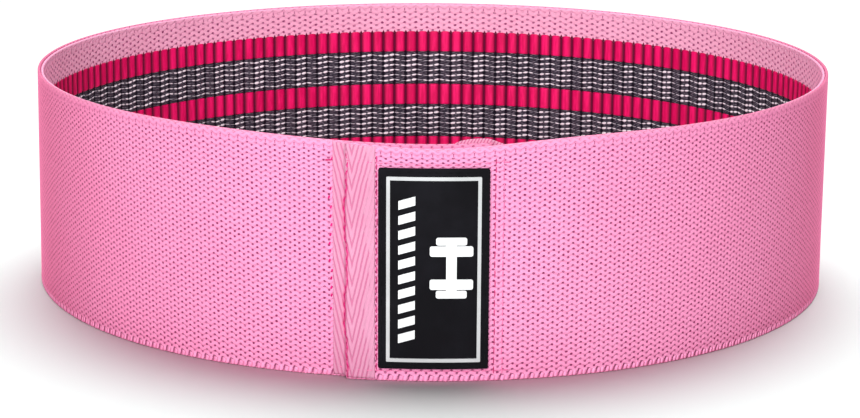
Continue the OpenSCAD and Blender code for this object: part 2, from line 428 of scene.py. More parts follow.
def off_whole(value):
    """Distance from value to the nearest whole number: 0 to 0.5 and back."""
    return calc("PINGPONG", value, 0.5)


def ramp(value, low, high, to_low=0.0, to_high=1.0):
    """Smooth step of value from low to high, mapped to to_low and to_high."""
    inputs = {"Value": value, "From Min": low, "From Max": high,
              "To Min": to_low, "To Max": to_high}
    return made(value.tree, "MapRange", inputs, interpolation_type="SMOOTHSTEP")


def mixed(factor, first, second):
    """Colour between first and second."""
    return made(factor.tree, "Mix", {0: factor, 6: first, 7: second}, 2, data_type="RGBA")


def noise(vector, scale, detail=2.0):
    """Grey noise, about 0 to 1 with a middle of 0.5."""
    return made(vector.tree, "TexNoise", {"Vector": vector, "Scale": scale, "Detail": detail})


def split(vector):
    """The first two numbers of a vector."""
    x = made(vector.tree, "SeparateXYZ", {0: vector})
    return x, Value(x.socket.node.outputs[1])


def joined(x, y):
    """A vector from two numbers, with 0 as its third."""
    return made(x.tree, "CombineXYZ", {0: x, 1: y})


# %% Groups, materials and what they read
def new_group(name, inputs, outputs):
    """Empty node group with float inputs (name: default) and vectors (name: None)."""
    tree = bpy.data.node_groups.new(name, "ShaderNodeTree")
    for label, default in inputs.items():
        kind = "NodeSocketVector" if default is None else "NodeSocketFloat"
        socket = tree.interface.new_socket(label, in_out="INPUT", socket_type=kind)
        if default is not None:
            socket.default_value = default
    for label in outputs:
        tree.interface.new_socket(label, in_out="OUTPUT", socket_type="NodeSocketFloat")
    given = tree.nodes.new("NodeGroupInput").outputs
    out = tree.nodes.new("NodeGroupOutput")
    return tree, [Value(given[label]) for label in inputs], out


def use_group(group, *values):
    """Outputs, by name, of a group placed where the values are, given in its own order."""
    node = values[0].tree.nodes.new("ShaderNodeGroup")
    node.node_tree = group
    fill(node, dict(enumerate(values)))
    return {socket.name: Value(socket) for socket in node.outputs}


def new_material(name, roughness, specular):
    """Material with a Principled shader: returns it, its tree and the shader."""
    material = bpy.data.materials.new(name)
    material.use_nodes = True
    shader = material.node_tree.nodes["Principled BSDF"]
    fill(shader, {"Roughness": roughness, "Specular IOR Level": specular})
    return material, material.node_tree, shader


def weave_map(tree):
    """The piece's own map in mm: along the webbing, and across it."""
    return made(tree, "UVMap", {}, uv_map="weave_mm")


def object_point(tree):
    """Object coordinates, in metres."""
    return made(tree, "TexCoord", {}, "Object")


def point_value(tree, name):
    """A named number that the piece's points carry."""
    return made(tree, "Attribute", {}, "Fac", attribute_name=name)


def surface(shader, colour, height, distance):
    """Feeds the shader a colour, and a height, 0 to 1, as relief of that many mm."""
    inputs = {"Strength": 1.0, "Distance": distance * MM, "Height": height}
    fill(shader, {"Base Color": colour, "Normal": made(height.tree, "Bump", inputs)})


# %% [markdown]
# ## The knit, the fibres and the twill
#
# The outer face is a warp knit. Its loops lean left and right in turn, so the dark lines
# between them zigzag, and at each turn of the zigzag there is a small hole. Seen from a
# distance the holes make a lattice in which every second column is shifted by half a step.
# A cosine along the webbing times a cosine across it has its peaks on just such a lattice.
# A noise shifts each loop a little, as no real knit is even.
#
# Fibres are a fine noise for the relief and the tone of all cloth. The twill is the tape's
# herringbone: ribs that lean one way on each side of a centre line.


# %% Node groups
def knit_group():
    """Holes and loops of a warp knit.

    With u and v counted in stitches, hole = cos(2 pi u)^3 cos(2 pi v), and the gap between
    rows is where v plus a triangle wave of u is a whole number.
    """
    tree, (place, width, height, unevenness), out = new_group(
        "knit",
        {"Map": None, "Stitch Width": 3.14, "Stitch Height": 1.77, "Unevenness": 0.2},
        ["Hole", "Gap", "Loop"],
    )
    along, across = split(place)
    u = along / width + (noise(place, 0.35) - 0.5) * unevenness
    v = across / height + (noise(place, 0.9) - 0.5) * unevenness
    narrow = calc("POWER", calc("COSINE", u * (2 * math.pi)), 3.0)
    hole = ramp(narrow * calc("COSINE", v * (2 * math.pi)), 0.2, 0.65)
    off = off_whole(v + off_whole(u))
    fill(out, {"Hole": hole, "Gap": ramp(off, 0.0, 0.13, 1.0, 0.0), "Loop": ramp(off, 0.0, 0.3)})
    return tree


def fibre_group():
    """Fine fibres for relief, slow drift of tone and single brighter or darker threads."""
    tree, (point,), out = new_group("fibre", {"Point": None}, ["Fuzz", "Drift", "Speckle"])
    fill(out, {"Fuzz": noise(point, 2600, 3.0), "Drift": noise(point, 22, 3.0),
               "Speckle": noise(point, 700)})
    return tree


def twill_group():
    """Herringbone: rib is 0 in the grooves and 1 on the ribs.

    The ribs count (distance from the centre line - height x lean) / spacing, with a little
    noise.
    """
    tree, (place, centre, lean, spacing), out = new_group(
        "twill",
        {"Map": None, "Centre": 0.0, "Lean": 0.23, "Spacing": 1.39},
        ["Rib"],
    )
    along, across = split(place)
    count = (calc("ABSOLUTE", along - centre) - across * lean) / spacing
    count = count + (noise(place, 0.25) - 0.5) * 0.35
    fill(out, {"Rib": ramp(off_whole(count), 0.02, 0.24)})
    return tree


KNIT = knit_group()
FIBRE = fibre_group()
TWILL = twill_group()
print("node groups:", [g.name for g in bpy.data.node_groups])

# %% [markdown]
# ## Finishes of the webbing
#
# The yarns are dyed a strong pink. Under studio light the front of a loop looks pale and
# its flanks look deep, because the red is already at its brightest. So the dye is set deep
# here, and the light makes the pale front. The knit's holes are painted dark: painted shade
# inside them.
#
# Cloth is fuzzy: seen at a slant, the eye looks through more of the fuzz. A sheen gives its
# deep pink edge. A coat with hardly any refraction of its own but a tint takes more light
# the longer its way through the coat is, and so it deepens the flanks.
#
# Where the inner end lies under the outer one, painted shade of the lap darkens the knit,
# and its holes show right up to the rim. Above each valley between two ribs, the top margin
# has a small dark crimson point. A painted highlight runs along the top bead. Along the foot
# the cloth is cast off in pairs of leaning loops; the foot gets a painted highlight, and a
# notch of painted shade lies between two pairs.
#
# The crimson stripes are satin floats, which are smoother and glossier than the knit, with
# painted shade on the flanks of their ribs and in the valleys. The grey stripes are a coarse
# weave of dark and light grey yarns that zigzag between the ribs, with painted shade in the
# valleys.

# %% Colours and places of the finishes
MARGIN = (0.84, 0.35, 0.51, 1)
MARGIN_LIGHT = (0.90, 0.43, 0.60, 1)
# Painted shade: the dark inside the knit's holes, its slits and the hem notches.
PINK_HOLE_SHADE = (0.27, 0.035, 0.13, 1)
PINK_LINE = (0.56, 0.10, 0.27, 1)
FUZZ = (0.42, 0.11, 0.20, 1)
FUZZ_SHADE = (0.93, 0.76, 0.79, 1)
FACE = (0.90, 0.365, 0.62, 1)
FACE_LIGHT = (0.95, 0.45, 0.725, 1)
PINK_TAPE = (0.60, 0.255, 0.38, 1)
TAPE_LIGHT = (0.67, 0.31, 0.45, 1)
# Painted shade in the grooves of the twill.
TAPE_GROOVE_SHADE = (0.55, 0.10, 0.24, 1)
# The pressed crease: the thread's crimson, with painted shade of the crease.
TAPE_PRESSED = (0.56, 0.02, 0.15, 1)
TAPE_SHEEN = (1.0, 0.8, 0.9, 1)
# Painted highlight along the top bead of the rim.
BEAD_HIGHLIGHT = (0.95, 0.45, 0.65, 1)
CRIMSON = (0.60, 0.0, 0.08, 1)
# Darkest crimson: painted shade in the valleys between ribs, and the dark points in the top
# margin.
CRIMSON_DEEP = (0.12, 0.0, 0.025, 1)
CRIMSON_LIGHT = (0.82, 0.006, 0.13, 1)
# Painted shade on the flanks of the crimson ribs.
CRIMSON_FLANK_SHADE = (0.30, 0.0, 0.038, 1)
GREY = (0.058, 0.047, 0.068, 1)
# Darkest grey: the dark lines between yarns, and painted shade in the valleys between ribs.
GREY_DEEP = (0.008, 0.004, 0.011, 1)
GREY_LIGHT = (0.24, 0.19, 0.24, 1)
GREY_WARM = (0.09, 0.065, 0.09, 1)
LATEX = (0.95, 0.80, 0.88, 1)
LATEX_GREY = (0.46, 0.39, 0.45, 1)
HEM_LOOP = 1.57
HEM_PAIR = 2 * HEM_LOOP
HEM_FIRST = OUTER_END + 1
HEM_FIRST_GAP = HEM_FIRST - HEM_LOOP / 2
HEM_LEAN = 0.3
TUCKED_FROM = S_FRONT_INNER + OUTER_END
STRIPE_TOP = stripe_high[2]
BEAD_TOP = BAND_H - 0.7
SLITS_AT = BAND_H - 2.3
DOTS_END = BAND_H - 3.1
print("hem loops:", HEM_LOOP, "mm apart; the tucked layer starts at", round(TUCKED_FROM, 1))


# %% Knit cloth
def with_sheen(shader, weight, roughness, tint):
    """Gives cloth the soft light edge of its loose fibres."""
    fill(shader, {"Sheen Weight": weight, "Sheen Roughness": roughness, "Sheen Tint": tint})


def shaded_by_fuzz(shader):
    """Gives the cloth a coat of fuzz that takes more light the more slantingly it is seen."""
    fill(shader, {"Coat Weight": 1.0, "Coat Roughness": 1.0, "Coat IOR": 1.05,
                  "Coat Tint": FUZZ_SHADE})


def knit_cloth(name, width, height, yarn, light_yarn, outer):
    """Pink knit with stitches of the given size in mm, for the outer face or the margins."""
    material, tree, shader = new_material(name, 0.85, 0.08)
    with_sheen(shader, 1.0, 0.3, FUZZ)
    place = weave_map(tree)
    along, across = split(place)
    knit = use_group(KNIT, place, width, height, 0.22)
    fibre = use_group(FIBRE, object_point(tree))
    colour = mixed(ramp(fibre["Drift"], 0.3, 0.7, 0.3, 0.7), yarn, light_yarn)
    colour = mixed(fibre["Speckle"] * 0.25, colour, PINK_LINE)
    patchy = ramp(noise(place, 0.5), 0.35, 0.65, 0.0, 0.5)
    colour = mixed(knit["Gap"] * patchy, colour, PINK_LINE)
    # Painted shade of the lap: where the inner end lies under the outer end the knit is darker,
    # and its holes show up to the rim.
    tucked = ramp(along, TUCKED_FROM - 1, TUCKED_FROM + 1)
    colour = mixed(tucked * 0.35, colour, PINK_LINE)
    dotted = calc("MAXIMUM", ramp(across, DOTS_END - 0.4, DOTS_END, 1.0, 0.0), tucked)
    # The holes are painted dark, as painted shade inside them.
    open_hole = knit["Hole"] * ramp(noise(place, 0.8), 0.35, 0.6, 0.45, 1.0)
    colour = mixed(open_hole * dotted, colour, PINK_HOLE_SHADE)
    # A row of slits under the rim, painted dark as the shade inside them.
    slit = ramp(off_whole(along / width), 0.02, 0.075, 1.0, 0.0)
    slit = slit * ramp(calc("ABSOLUTE", across - SLITS_AT), 0.4, 0.65, 0.8, 0.0)
    colour = mixed(slit, colour, PINK_HOLE_SHADE)
    # Painted highlight: the top bead of the rim is lightened.
    colour = mixed(ramp(across, BEAD_TOP - 0.4, BEAD_TOP) * 0.4, colour, BEAD_HIGHLIGHT)
    relief = knit["Loop"] - knit["Hole"]
    if outer:
        shaded_by_fuzz(shader)
        hem = ramp(across, 2.0, 2.4, 1.0, 0.0)
        pair = (along - across * HEM_LEAN - HEM_FIRST_GAP) / HEM_PAIR
        notch = ramp(off_whole(pair), 0.03, 0.12, 1.0, 0.0) * hem
        # Painted highlight: the foot is lightened towards the lighter yarn. Painted shade: a dark
        # notch between two pairs of loops.
        colour = mixed(hem * 0.8, colour, light_yarn)
        colour = mixed(notch * 0.85, colour, PINK_HOLE_SHADE)
        relief = relief - notch
    else:
        # Above each valley between two ribs, a small dark crimson point in the top margin.
        spike = off_whole(rib_count(along)) * RIB_PITCH + (across - STRIPE_TOP) * 0.5
        upper = ramp(across, STRIPE_TOP - 1.2, STRIPE_TOP - 1)
        colour = mixed(ramp(spike, 0.3, 0.5, 1.0, 0.0) * upper, colour, CRIMSON_DEEP)
    surface(shader, colour, fibre["Fuzz"] * 0.25 + relief, 0.2)
    return material


outer_knit = knit_cloth("pink_knit", 3.14, 1.77, FACE, FACE_LIGHT, outer=True)
margin_knit = knit_cloth("pink_margin_knit", RIB_PITCH, 2.2, MARGIN, MARGIN_LIGHT, outer=False)
print("knits:", outer_knit.name, margin_knit.name)


# %% Ribbed and grey stripes
def satin_ribs():
    """Crimson floats: painted shade on the rib flanks and in the valleys, with fine threads
    across.
    """
    material, tree, shader = new_material("crimson_satin", 0.5, 0.12)
    along, across = split(weave_map(tree))
    fibre = use_group(FIBRE, object_point(tree))
    rib = rib_count(along)
    of_rib = noise(joined(calc("FLOOR", rib) * 7.3, 0.5), 1.0)
    streak = noise(joined(rib * 5.0, across * 0.15), 1.0)
    colour = mixed(ramp(of_rib * 0.5 + streak * 0.5, 0.38, 0.62), CRIMSON, CRIMSON_LIGHT)
    off = off_whole(rib)
    # Painted shade: darker on the flanks of each rib, and darkest in the valleys between ribs.
    colour = mixed(ramp(off, 0.1, 0.36, 0.9, 0.0), colour, CRIMSON_FLANK_SHADE)
    colour = mixed(ramp(off, 0.045, 0.16, 1.0, 0.0), colour, CRIMSON_DEEP)
    thread = calc("SINE", across * (2 * math.pi / 0.55))
    surface(shader, colour, thread * 0.15 + fibre["Fuzz"], 0.03)
    return material


def grey_weave():
    """Dark yarns that zigzag from rib to rib, light threads between some, painted shade in
    valleys.
    """
    material, tree, shader = new_material("grey_weave", 0.8, 0.1)
    place = weave_map(tree)
    along, across = split(place)
    fibre = use_group(FIBRE, object_point(tree))
    rib = rib_count(along)
    valley = ramp(off_whole(rib), 0.06, 0.19, 1.0, 0.0)
    yarn = off_whole((across + calc("PINGPONG", rib, 1.0) * 0.9) / 0.7)
    light = ramp(yarn, 0.3, 0.45) * ramp(noise(place, 0.9), 0.45, 0.62)
    colour = mixed(ramp(fibre["Drift"], 0.3, 0.7), GREY, GREY_WARM)
    colour = mixed(light, colour, GREY_LIGHT)
    colour = mixed(ramp(yarn, 0.1, 0.3, 1.0, 0.0), colour, GREY_DEEP)
    # Painted shade in the valleys between ribs.
    colour = mixed(valley, colour, GREY_DEEP)
    surface(shader, colour, fibre["Fuzz"] * 0.3 + (ramp(yarn, 0.0, 0.5) - valley), 0.22)
    return material


crimson_satin = satin_ribs()
grey_cloth = grey_weave()
print("stripes:", crimson_satin.name, grey_cloth.name)


# %% Plain yarns and latex
def plain_yarn(name, colour, second, roughness=0.7):
    """A yarn whose tone drifts between two colours, with a fine fuzzy relief."""
    material, tree, shader = new_material(name, roughness, 0.1)
    fibre = use_group(FIBRE, object_point(tree))
    tone = mixed(ramp(fibre["Speckle"], 0.35, 0.65), colour, second)
    surface(shader, tone, fibre["Fuzz"], 0.05)
    return material


def beaded_latex():
    """Latex yarn: pale where it bulges ("bright" near 1), grey where a yarn covers it."""
    material, tree, shader = new_material("latex_yarn", 0.5, 0.2)
    fibre = use_group(FIBRE, object_point(tree))
    colour = mixed(ramp(point_value(tree, "bright"), 0.15, 0.6), LATEX_GREY, LATEX)
    colour = mixed(fibre["Speckle"] * 0.2, colour, GREY_LIGHT)
    surface(shader, colour, fibre["Fuzz"], 0.04)
    return material


core_latex = plain_yarn("core_latex", (0.75, 0.7, 0.6, 1), (0.85, 0.8, 0.7, 1), 0.5)
pink_thread = plain_yarn("pink_thread", (0.70, 0.13, 0.31, 1), (0.82, 0.22, 0.42, 1))
deep_thread = plain_yarn("deep_pink_thread", (0.40, 0.02, 0.11, 1), (0.60, 0.05, 0.20, 1))
crimson_thread = plain_yarn("crimson_thread", (0.50, 0.002, 0.12, 1), (0.70, 0.01, 0.20, 1))
black_thread = plain_yarn("black_thread", (0.004, 0.004, 0.005, 1), (0.009, 0.009, 0.01, 1), 0.9)
latex_yarn = beaded_latex()
print("yarns:", [m.name for m in bpy.data.materials[-6:]])

# %% [markdown]
# ## Finishes of the tapes, the label and the floor
#
# The tapes are a plain pink yarn in herringbone. Their grooves get painted shade, and the
# line that the stitches press along the step is painted in the crimson of the thread, with
# painted shade of the crease. Two values on the mesh say where the tape is ribbed and where
# it is pressed. The label is matt moulded rubber, which wears and gathers dust unevenly, so
# both its tone and its gloss are mottled.


# %% Tapes
def twill_tape(name, centre, lean, spacing, depth):
    """Herringbone tape: painted shade in the grooves, plain along the woven edge."""
    material, tree, shader = new_material(name, 0.8, 0.08)
    with_sheen(shader, 0.06, 0.5, TAPE_SHEEN)
    fibre = use_group(FIBRE, object_point(tree))
    rib = use_group(TWILL, weave_map(tree), centre, lean, spacing)["Rib"]
    colour = mixed(ramp(fibre["Drift"], 0.3, 0.7), PINK_TAPE, TAPE_LIGHT)
    colour = mixed(fibre["Speckle"] * 0.2, colour, PINK_LINE)
    # Painted shade in the twill's grooves.
    groove = (1.0 - rib) * depth * point_value(tree, "ribbed")
    colour = mixed(groove, colour, TAPE_GROOVE_SHADE)
    # The pressed crease is painted in the thread's crimson, darkened as painted shade of the
    # crease.
    colour = mixed(point_value(tree, "pressed"), colour, TAPE_PRESSED)
    surface(shader, colour, fibre["Fuzz"] * 0.4 + rib, 0.12)
    return material


OUTER_TWILL = (-24.4, 0.23, 1.39)
INNER_TWILL = (-40, 0.5, 1.0)
outer_twill = twill_tape("outer_twill", *OUTER_TWILL, 0.65)
inner_twill = twill_tape("inner_twill", *INNER_TWILL, 1.0)
print("tapes:", outer_twill.name, inner_twill.name)


# %% Rubber and the floor
def moulded_rubber(name, colour, worn, roughness, specular):
    """Matt moulded rubber: slight mottling, dust in the tone, a fine grain."""
    material, tree, shader = new_material(name, roughness, specular)
    point = object_point(tree)
    dusty = ramp(noise(point, 45, 3.0), 0.3, 0.7, roughness - 0.07, roughness + 0.09)
    fill(shader, {"Roughness": dusty})
    tone = mixed(ramp(noise(point, 90, 4.0), 0.35, 0.7), colour, worn)
    surface(shader, tone, noise(point, 3500), 0.02)
    return material


label_black = moulded_rubber("label_black", (0.005, 0.0045, 0.006, 1), (0.008, 0.0075, 0.01, 1),
                             0.65, 0.04)
label_grey = moulded_rubber("label_grey", (0.45, 0.45, 0.46, 1), (0.53, 0.53, 0.54, 1),
                            0.55, 0.1)
label_white = moulded_rubber("label_white", (0.74, 0.74, 0.75, 1), (0.80, 0.80, 0.81, 1),
                             0.55, 0.1)
floor_paint, tree, shader = new_material("floor_paint", 0.9, 0.1)
speckled = ramp(noise(object_point(tree), 3), 0.3, 0.7)
floor_tone = mixed(speckled, (0.90, 0.90, 0.89, 1), (0.92, 0.92, 0.91, 1))
fill(shader, {"Base Color": floor_tone})
floor.data.materials.append(floor_paint)
print("materials:", [m.name for m in bpy.data.materials])

# %% [markdown]
# ## The outer knit and the two margins
#
# The real face cloth is knitted as one flat layer whose edges are a little thicker. Its
# cross-section here is a thin strip with a round bead along each edge. The inner margins
# are strips with a bead of their own, so that the rim of the band shows two light ridges
# with a groove between them. Each section is carried along the whole length of the webbing
# and closed at both ends.


# %% Cross-sections of strips
def half_round(depth_0, depth_1, z, way, steps=6):
    """Half circle from depth_0 to depth_1 that bulges up (way 1) or down (way -1) at z."""
    a = np.linspace(0, np.pi, steps)
    r = abs(depth_1 - depth_0) / 2
    return np.stack([(depth_0 + depth_1) / 2 + (depth_0 - depth_1) / 2 * np.cos(a),
                     z + way * r * np.sin(a)], -1)


def straight(depth_0, z_0, depth_1, z_1, steps):
    """Points on a line in the cross-section, without its last point."""
    t = np.linspace(0, 1, steps, endpoint=False)[:, None]
    return np.array([depth_0, z_0]) * (1 - t) + np.array([depth_1, z_1]) * t


OUTER_BACK = 0.62
BEAD_GROOVE = 1.02
MARGIN_FRONT = 1.38
MARGIN_BACK = WEB_T
BEAD_H = 1.9


def cloth_section():
    """Outer cloth: up the outer face, over the top bead, down the hidden face, round."""
    r = BEAD_GROOVE / 2
    low, high = r, BAND_H - r
    return np.concatenate([
        straight(0, low, 0, DIP_FROM, 16),
        straight(0, DIP_FROM, 0, high, 12),
        half_round(0, BEAD_GROOVE, high, 1)[:-1],
        straight(BEAD_GROOVE, high, OUTER_BACK, high - BEAD_H, 3),
        straight(OUTER_BACK, high - BEAD_H, OUTER_BACK, DIP_FROM, 6),
        straight(OUTER_BACK, DIP_FROM, OUTER_BACK, low + BEAD_H, 5),
        straight(OUTER_BACK, low + BEAD_H, BEAD_GROOVE, low, 3),
        half_round(BEAD_GROOVE, 0, low, -1)[:-1],
    ])


def margin_section(edge, inward):
    """Inner margin: a strip with a bead at height edge that runs to height inward."""
    way = 1 if edge > inward else -1
    front = BEAD_GROOVE + 0.12
    r = (MARGIN_BACK - front) / 2
    bead = edge - way * (r + 0.35)
    return np.concatenate([
        straight(MARGIN_BACK - 0.06, inward, MARGIN_BACK - 0.06, bead - way * BEAD_H, 8),
        straight(MARGIN_BACK - 0.06, bead - way * BEAD_H, MARGIN_BACK, bead, 4),
        half_round(MARGIN_BACK, front, bead, way)[:-1],
        straight(front, bead, MARGIN_FRONT, bead - way * BEAD_H, 3),
        straight(MARGIN_FRONT, bead - way * BEAD_H, MARGIN_FRONT, inward, 8),
        np.array([[MARGIN_FRONT, inward]]),
    ])


def even_arcs(step):
    """Arcs along the whole webbing, about step apart."""
    return np.linspace(OUTER_END, S_END, round(STRIP_LENGTH / step) + 1)


def strip(name, section, arcs, *finish):
    """Carries a cross-section along the webbing: one for all arcs, or one for each."""
    section = np.broadcast_to(section, (len(arcs),) + section.shape[-2:])
    dress(grid_piece(name, carried(arcs, section), section_uv(arcs, section)), *finish)


def both(name):
    """The two CAD nodes of a layer: its front half and its back half."""
    return [f"{name}_front", f"{name}_back"]


def box_heights(node):
    """Lowest and highest z of a CAD node, in mm."""
    low, high = node_box(node)
    return low[2], high[2]


TUCK = 0.9
cloth_nodes = both("face_cloth")
stripes_top = box_heights("crimson_rib_stripe_top_back")[1]
stripes_bottom = box_heights("crimson_rib_stripe_bottom_back")[0]
cloth_arcs = even_arcs(1.6)
strip("outer_cloth", cloth_section(), cloth_arcs, outer_knit, "pink_cloth", cloth_nodes)
strip("inner_margin_top", margin_section(BAND_H, stripes_top - TUCK), cloth_arcs, margin_knit,
      "pink_cloth", cloth_nodes)
strip("inner_margin_bottom", margin_section(0, stripes_bottom + TUCK), cloth_arcs, margin_knit,
      "pink_cloth", cloth_nodes)

# %% [markdown]
# ## The bottom hem
#
# Along the lower edge the knit is cast off in a row of small loops that lean to the right.
# They stand in pairs. The knit's finish lightens the foot with a painted highlight and paints a
# dark notch of shade after every second one.
# One small flat capsule is repeated along the whole edge, just outside the cloth's bead,
# and a little chance shifts each one, because no machine places them evenly.


# %% A short thread and how it is repeated
def threads(name, arc, z, along, rise, radius, place, hump=0.22, flat=1.0):
    """Short threads that arch over a surface.

    With t from -1 to 1 along a thread, its centre is at arc + t along / 2, z + t rise / 2
    and lift hump (1 - t^2), and its radius is radius sqrt(1 - t^6). place(arc, lift, z)
    gives the point in space. All of arc, z, along and rise may be arrays.
    """
    t = (np.sin(np.linspace(-1, 1, 7) * np.pi / 2) * 0.98)[:, None]
    turn_round = np.arange(6) * np.pi / 3
    arc, z, along, rise = (np.asarray(v, float)[..., None, None] for v in
                           np.broadcast_arrays(arc, z, along, rise))
    length = np.hypot(along, rise)
    r = radius * np.sqrt(1 - t ** 6)
    side = r * np.sin(turn_round)
    lift = hump * (1 - t ** 2) + r * np.cos(turn_round) * flat
    return tubes(name, place(arc + t * along / 2 + side * rise / length, lift,
                             z + t * rise / 2 - side * along / length))


def outer_face(arc, lift, z):
    """Point at a lift above the webbing's outer face."""
    return webbing(arc, -lift, z)


HEM_H = 1.6
HEM_R = 0.72
HEM_RAISE = 0.16
HEM_SHIFT = 0.27
PAIR_SHIFT = 0.14
arcs = np.arange(HEM_FIRST, S_END - 1, HEM_LOOP)
pair_shift = np.where(np.arange(len(arcs)) % 2, -PAIR_SHIFT, PAIR_SHIFT)
dice = np.random.default_rng(7)
arcs = arcs + pair_shift + dice.normal(0, 0.06, len(arcs)) + HEM_SHIFT
heights = HEM_H / 2 + HEM_RAISE + dice.normal(0, 0.05, len(arcs))
edge_yarn = plain_yarn("edge_yarn", FACE, FACE_LIGHT)
shaded_by_fuzz(edge_yarn.node_tree.nodes["Principled BSDF"])
edge_loops = threads("edge_loops_bottom", arcs, heights, HEM_LEAN * HEM_H, HEM_H, HEM_R,
                     outer_face, hump=0.0, flat=0.08)
dress(edge_loops, edge_yarn, "pink_cloth", cloth_nodes)

# %% [markdown]
# ## Crimson ribs
#
# The weft of the stripes is pulled tight every few millimetres, so the surface bulges
# between the pulls: a row of upright ribs with deep valleys. The ribs are rounder than a
# sine, almost flat on top and steep at the sides, so their profile is a parabola mixed with
# a tenth power. At their upper and lower ends they curve down into the margins, and the
# margins show between them as small cusps.

# %% Rib profile
RIB_STEPS = np.array([-1, -0.9, -0.75, -0.5, -0.17, 0.17, 0.5, 0.75, 0.9])


def rib_arcs(steps):
    """Arcs at the given steps, -1 to 1, of every rib along the webbing."""
    first = math.floor((OUTER_END - RIB_VALLEY) / RIB_PITCH)
    last = math.ceil((S_END - RIB_VALLEY) / RIB_PITCH)
    k = np.arange(first, last)[:, None]
    arcs = (RIB_VALLEY + RIB_PITCH * (k + (steps + 1) / 2)).ravel()
    inside = arcs[(arcs > OUTER_END + 0.05) & (arcs < S_END - 0.05)]
    return np.concatenate([[OUTER_END], inside, [S_END]])


def rib_profile(s):
    """0 in the valleys and 1 on the crests: 0.6 (1 - t^2) + 0.4 (1 - |t|^10)."""
    t = 2 * (rib_count(s) % 1) - 1
    return 0.6 * (1 - t ** 2) + 0.4 * (1 - np.abs(t) ** 10)


VALLEY_DEPTH = 1.5
CREST_DEPTH = 2.35
RIB_OVER = 0.30
RIB_BACK = MARGIN_FRONT + 0.05


def striped(face, low, high):
    """Closes sections of a stripe's face with its flat hidden side."""
    hidden = np.array([[MARGIN_FRONT, high], [MARGIN_FRONT, low]])
    return np.concatenate([face, np.broadcast_to(hidden, (len(face), 2, 2))], 1)


def crimson_section(s, low, high):
    """Sections of a ribbed stripe: ribs that round off in a quarter circle at the ends."""
    ends = np.array([-RIB_OVER, -0.22, -0.08, 0.12, 0.45, 0.95])
    inner = np.linspace(low + 2.2, high - 2.2, 4)
    z = np.concatenate([low + ends, inner, (high - ends)[::-1]])
    off_end = np.minimum(z - (low - RIB_OVER), (high + RIB_OVER) - z)
    dome = np.sqrt(1 - (1 - np.clip(off_end / 0.8, 0, 1)) ** 2)
    crest = VALLEY_DEPTH + (CREST_DEPTH - VALLEY_DEPTH) * rib_profile(s)[:, None]
    depth = RIB_BACK + (crest - RIB_BACK) * dome
    face = np.stack([depth, np.broadcast_to(z, depth.shape)], -1)
    return striped(face, low + RIB_OVER, high - RIB_OVER)


stripe_arcs = rib_arcs(RIB_STEPS)
for level in ("top", "middle", "bottom"):
    nodes = both(f"crimson_rib_stripe_{level}")
    section = crimson_section(stripe_arcs, *box_heights(nodes[1]))
    strip(f"crimson_ribs_{level}", section, stripe_arcs, crimson_satin, "crimson_ribs", nodes)

# %% [markdown]
# ## Grey stripes and latex strands
#
# The grey stripes follow the same ribs, but they are flatter and lie lower. Six latex yarns
# run along each of them. They zigzag a little from rib to rib, and each is squeezed where
# the weft crosses it, so it shows as a row of beads. In every second rib the beads are
# covered by a grey binding yarn, so light and dim columns take turns.


# %% Sections of the grey stripes and the beaded yarns
GREY_VALLEY = 1.62
GREY_RISE = 0.26


def grey_section(s, low, high):
    """Sections of a grey stripe: flatter ribs that dip at the valleys."""
    z = np.linspace(low - 0.2, high + 0.2, 12)
    depth = GREY_VALLEY + GREY_RISE * rib_profile(s)[:, None] + 0 * z
    return striped(np.stack([depth, np.broadcast_to(z, depth.shape)], -1), low, high)


STRANDS = 6
STRAND_PITCH = 2.1
STRAND_STEPS = np.linspace(-1, 1, 12, endpoint=False)
STRAND_SIDES = np.arange(5) * 2 * np.pi / 5 + np.pi / 2
ZIGZAG = 0.32
WAIST_R = 0.06
BULGE_R = 0.40


def strand_set(name, low, high, seed, nodes):
    """Six beaded latex yarns in one mesh.

    With c the rib number, the height swings by ZIGZAG times a triangle wave of period 2,
    and the radius is WAIST_R + BULGE_R w sqrt |sin 2 pi c|, with w large in the light
    columns and different by chance in each half rib. The yarns sink in the valleys.
    """
    s = rib_arcs(STRAND_STEPS)
    c = rib_count(s)
    rib = np.floor(c).astype(int)
    half_rib = np.floor(2 * c).astype(int)
    dice = np.random.default_rng(seed)
    luck = dice.uniform(0, 1, (STRANDS, half_rib.max() - half_rib.min() + 1))
    luck = luck[:, half_rib - half_rib.min()]
    w = np.where(rib % 2 == 0, 0.6 + 0.6 * luck, 0.15 + 0.55 * luck)
    w = w * dice.uniform(0.7, 1.1, rib.max() - rib.min() + 1)[rib - rib.min()]
    lobe = np.abs(np.sin(2 * np.pi * c))
    radius = (WAIST_R + BULGE_R * np.sqrt(lobe) * w)[..., None]
    swing = ZIGZAG * (2 * np.abs(2 * ((c / 2) % 1) - 1) - 1) + 0.12 * (luck - 0.5)
    row = (low + high) / 2 + (np.arange(STRANDS) - (STRANDS - 1) / 2) * STRAND_PITCH
    centre_z = row[:, None] + swing
    centre_d = 1.80 - 0.25 * np.exp(-((0.5 - np.abs((c % 1) - 0.5)) / 0.07) ** 2)
    points = webbing(s[None, :, None], centre_d[:, None] + radius * np.sin(STRAND_SIDES),
                     centre_z[..., None] + radius * np.cos(STRAND_SIDES))
    piece = tubes(name, points)
    set_values(piece, "bright", np.broadcast_to((w * lobe)[..., None], points.shape[:3]))
    dress(piece, latex_yarn, "latex_strands", nodes)


# %% Both grey stripes and their yarns
for level, seed in (("upper", 11), ("lower", 23)):
    nodes = both(f"grey_grip_stripe_{level}")
    low, high = box_heights(nodes[1])
    strip(f"grey_stripe_{level}", grey_section(stripe_arcs, low, high), stripe_arcs, grey_cloth,
          "grey_cloth", nodes)
    strand_set(f"latex_strands_{level}", low, high, seed, both(f"latex_grip_strands_{level}"))

